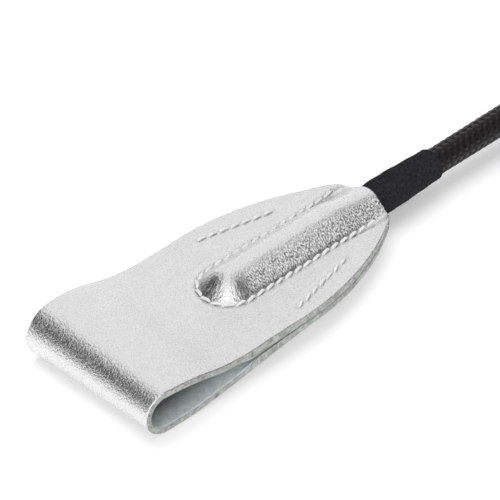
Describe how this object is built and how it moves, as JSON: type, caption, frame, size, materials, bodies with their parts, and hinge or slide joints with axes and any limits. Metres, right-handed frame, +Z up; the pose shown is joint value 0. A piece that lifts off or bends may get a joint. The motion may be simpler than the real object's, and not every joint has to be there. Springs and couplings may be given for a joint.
{
  "type": "riding crop",
  "caption": "Short riding crop: slim braided shaft with a folded leather tongue, stitched round the tip, and a leather grip with a domed cap and wrist loop.",
  "frame": {"origin": "on the ground, under the middle of the whole crop as it lies", "axes": "+X along the crop from its tongue to its butt and wrist loop, +Y across the tongue, +Z up from the ground"},
  "size_m": [0.742, 0.0618, 0.026],
  "materials": {
    "silver_leather": "silver metallic foil with a fine pebble grain, grey-green suede inside",
    "whipping_thread": "matt black waxed thread, wound close",
    "stitching_thread": "white thread",
    "nylon_braid": "glossy black nylon braid",
    "fibreglass": "pultruded glass fibre",
    "core_wood": "plain turned beech",
    "plated_metal": "nickel-plated, polished",
    "steel": "bright steel"
  },
  "bodies": {
    "shaft": {"core_rod": "fibreglass", "braid_sleeve": "nylon_braid", "tip_whipping": "whipping_thread", "tongue_root": "silver_leather", "tongue_seam_needle_thread": "stitching_thread", "tongue_seam_bobbin_thread": "stitching_thread", "left_seam_needle_thread": "stitching_thread", "left_seam_bobbin_thread": "stitching_thread", "right_seam_needle_thread": "stitching_thread", "right_seam_bobbin_thread": "stitching_thread", "grip_core": "core_wood", "grip_cover": "silver_leather", "grip_seam_thread": "stitching_thread", "grip_whipping": "whipping_thread", "butt_cap": "plated_metal", "cap_screw": "steel", "strap_rivet": "steel"},
    "tongue_flap": {"tongue_flap": "silver_leather"},
    "wrist_loop": {"wrist_strap": "silver_leather"},
    "keeper": {"strap_keeper": "silver_leather", "keeper_thread": "stitching_thread"}
  },
  "joints": [
    {"name": "tongue_flex", "type": "hinge", "parent": "shaft", "child": "tongue_flap", "pos_m": [-0.33802, 0, 0.0061], "axis": [0, 1, 0], "range_deg": [-60, 60], "stiffness_Nm_per_rad": 0.3},
    {"name": "loop_swing", "type": "hinge", "parent": "shaft", "child": "wrist_loop", "pos_m": [0.22299, 0, 0.01309], "axis": [0, 1, 0], "range_deg": [-92, 85]},
    {"name": "keeper_slide", "type": "slide", "parent": "wrist_loop", "child": "keeper", "axis": [0.9985, 0, -0.0547], "range_m": [-0.006, 0.015]}
  ]
}
